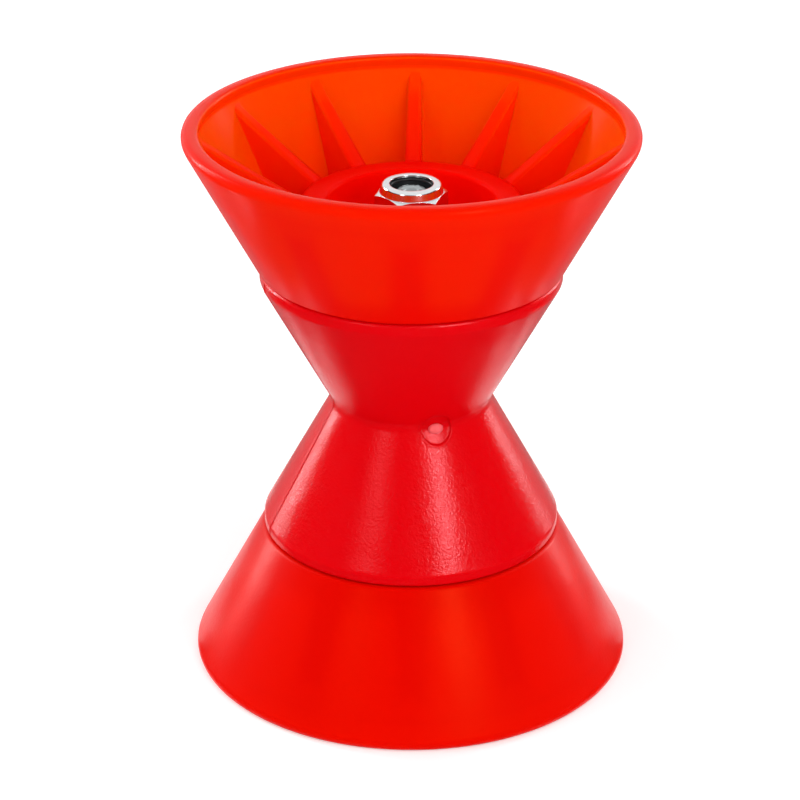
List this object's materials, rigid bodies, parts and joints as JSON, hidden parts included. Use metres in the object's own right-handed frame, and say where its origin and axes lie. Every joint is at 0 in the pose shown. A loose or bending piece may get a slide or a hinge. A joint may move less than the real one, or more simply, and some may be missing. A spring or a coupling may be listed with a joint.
{
  "type": "boat trailer roller",
  "caption": "Bow roller for a boat trailer: a V-shaped centre roller between ribbed end bells, turning on a hex bolt with a lock nut.",
  "frame": {"origin": "middle of the lower bell's rim plane, on the bolt's axis", "axes": "+Z along the bolt, from the lower bell's rim to the upper bell's rim; one rib of the lower bell lies along +X"},
  "size_m": [0.1334, 0.1334, 0.1713],
  "materials": {
    "bell_pvc": "translucent orange-red moulded PVC",
    "roller_pvc": "translucent crimson moulded PVC",
    "zinc_plated_steel": "zinc-plated",
    "white_nylon": "moulded nylon",
    "dark_nylon": "moulded nylon"
  },
  "bodies": {
    "axle": {"hex_bolt": "zinc_plated_steel", "lock_nut": "zinc_plated_steel", "nylon_insert": "dark_nylon", "nut_washer": "zinc_plated_steel", "head_washer": "zinc_plated_steel", "lower_thrust_washer": "white_nylon", "upper_thrust_washer": "white_nylon"},
    "roller": {"centre_roller": "roller_pvc", "lower_roller_bush": "white_nylon", "upper_roller_bush": "white_nylon"},
    "lower_end_bell": {"lower_bell": "bell_pvc", "lower_bell_bush": "white_nylon"},
    "upper_end_bell": {"upper_bell": "bell_pvc", "upper_bell_bush": "white_nylon"}
  },
  "joints": [
    {"name": "roller_spin", "type": "hinge", "parent": "axle", "child": "roller", "pos_m": [0, 0, 0.08565], "axis": [0, 0, 1], "continuous": true},
    {"name": "lower_bell_spin", "type": "hinge", "parent": "axle", "child": "lower_end_bell", "pos_m": [0, 0, 0], "axis": [0, 0, 1], "continuous": true},
    {"name": "upper_bell_spin", "type": "hinge", "parent": "axle", "child": "upper_end_bell", "pos_m": [0, 0, 0.1713], "axis": [0, 0, 1], "continuous": true}
  ]
}
